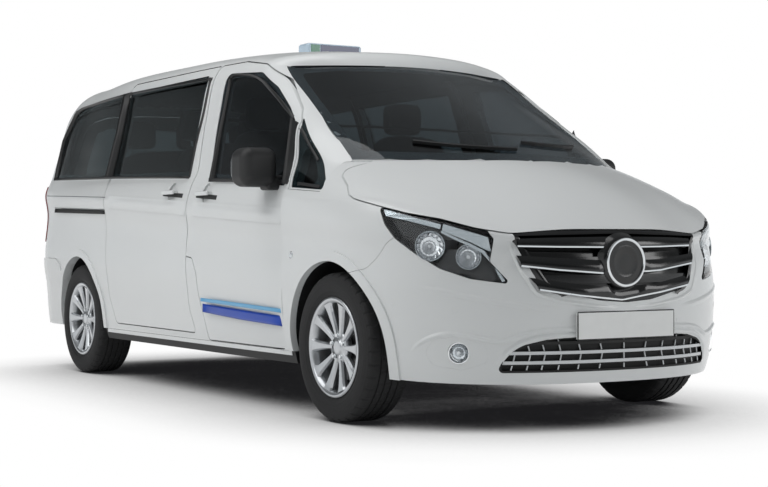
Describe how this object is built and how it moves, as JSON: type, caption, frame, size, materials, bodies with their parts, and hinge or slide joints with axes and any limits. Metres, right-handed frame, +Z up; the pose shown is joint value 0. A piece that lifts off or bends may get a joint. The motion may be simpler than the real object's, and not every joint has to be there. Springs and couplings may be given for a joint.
{
  "type": "van taxi",
  "caption": "People-carrier van taxi with steered front wheels, hinged front doors, bonnet and tailgate, sliding rear doors, rows of seats and a lit roof sign.",
  "frame": {"origin": "centre of the base of the bounding box, on the ground between the wheels", "axes": "+X to the vehicle's left, -Y to its front, +Z up"},
  "size_m": [2.249, 4.8959, 1.92],
  "materials": {
    "white_paint": "gloss",
    "tinted_glass": "gloss",
    "clear_glass": "gloss",
    "tyre": "matte",
    "wheel_alloy": "satin",
    "seat_cloth": "matte",
    "plate_face": "satin",
    "sign_face": "gloss",
    "lamp_clear": "gloss",
    "lamp_red": "gloss",
    "grille_finish": "gloss",
    "black_plastic": "matte",
    "black_steel": "satin",
    "cast_metal": "matte",
    "bare_steel": "satin",
    "radiator_metal": "matte"
  },
  "bodies": {
    "body": {"arch_liners": "black_plastic", "bench_2": "seat_cloth", "bench_3": "seat_cloth", "body_shell": "white_paint", "cowl": "black_plastic", "dashboard": "black_plastic", "engine_block": "cast_metal", "exhaust": "bare_steel", "floor_pan": "black_steel", "front_bumper": "white_paint", "front_frame": "black_steel", "front_lamps": "lamp_clear", "front_plate": "plate_face", "front_seats": "seat_cloth", "front_suspension": "black_steel", "front_wing_left": "white_paint", "front_wing_right": "white_paint", "fuel_tank": "black_plastic", "grille": "grille_finish", "lower_grilles": "black_plastic", "radiator": "radiator_metal", "rear_bumper": "white_paint", "rear_suspension": "black_steel", "roof_sign": "sign_face", "side_windows": "tinted_glass", "sills": "black_plastic", "sliding_door_left": "white_paint", "sliding_door_right": "white_paint", "sliding_handles": "white_paint", "tail_lamps": "lamp_red", "windscreen": "clear_glass", "wipers": "black_plastic"},
    "front_door_left": {"front_door_left": "white_paint", "front_window_left": "tinted_glass", "mirror_left": "black_plastic", "front_handle_left": "white_paint"},
    "front_door_right": {"front_door_right": "white_paint", "front_window_right": "tinted_glass", "mirror_right": "black_plastic", "front_handle_right": "white_paint"},
    "bonnet": {"bonnet": "white_paint"},
    "tailgate": {"tailgate": "white_paint", "rear_window": "tinted_glass", "rear_plate": "plate_face"},
    "knuckle_left": {"knuckle_left": "black_steel"},
    "knuckle_right": {"knuckle_right": "black_steel"},
    "front_wheel_left": {"front_rim_left": "wheel_alloy", "front_tyre_left": "tyre"},
    "front_wheel_right": {"front_rim_right": "wheel_alloy", "front_tyre_right": "tyre"},
    "rear_wheel_left": {"rear_rim_left": "wheel_alloy", "rear_tyre_left": "tyre"},
    "rear_wheel_right": {"rear_rim_right": "wheel_alloy", "rear_tyre_right": "tyre"},
    "steering_wheel": {"steering_wheel": "black_plastic"}
  },
  "joints": [
    {"name": "front_door_left_hinge", "type": "hinge", "parent": "body", "child": "front_door_left", "pos_m": [0.958, -1.0775, 0.5], "axis": [0.04, 0, -0.9992], "range_deg": [0, 65]},
    {"name": "front_door_right_hinge", "type": "hinge", "parent": "body", "child": "front_door_right", "pos_m": [-0.958, -1.0775, 0.5], "axis": [0.04, 0, 0.9992], "range_deg": [0, 65]},
    {"name": "bonnet_hinge", "type": "hinge", "parent": "body", "child": "bonnet", "pos_m": [0, -1.4025, 1.18], "axis": [-1, 0, 0], "range_deg": [0, 50]},
    {"name": "tailgate_hinge", "type": "hinge", "parent": "body", "child": "tailgate", "pos_m": [0, 2.3055, 1.66], "axis": [1, 0, 0], "range_deg": [0, 85]},
    {"name": "steer_right", "type": "hinge", "parent": "body", "child": "knuckle_right", "pos_m": [-0.79, -1.5525, 0.334], "axis": [0, 0, 1], "range_deg": [-35, 35]},
    {"name": "steer_left", "type": "hinge", "parent": "body", "child": "knuckle_left", "pos_m": [0.79, -1.5525, 0.334], "axis": [0, 0, 1], "range_deg": [-35, 35]},
    {"name": "front_wheel_right_spin", "type": "hinge", "parent": "knuckle_right", "child": "front_wheel_right", "pos_m": [-0.833, -1.5525, 0.334], "axis": [1, 0, 0], "continuous": true},
    {"name": "front_wheel_left_spin", "type": "hinge", "parent": "knuckle_left", "child": "front_wheel_left", "pos_m": [0.833, -1.5525, 0.334], "axis": [1, 0, 0], "continuous": true},
    {"name": "rear_wheel_right_spin", "type": "hinge", "parent": "body", "child": "rear_wheel_right", "pos_m": [-0.823, 1.6475, 0.334], "axis": [1, 0, 0], "continuous": true},
    {"name": "rear_wheel_left_spin", "type": "hinge", "parent": "body", "child": "rear_wheel_left", "pos_m": [0.823, 1.6475, 0.334], "axis": [1, 0, 0], "continuous": true},
    {"name": "steering_wheel_turn", "type": "hinge", "parent": "body", "child": "steering_wheel", "pos_m": [0.42, -0.7525, 1.1], "axis": [0, 0.8829, 0.4695], "range_deg": [-460, 460]}
  ],
  "couplings": [
    {"joint": "steer_left", "follows": "steer_right", "ratio": 1},
    {"joint": "steering_wheel_turn", "follows": "steer_right", "ratio": 13}
  ]
}
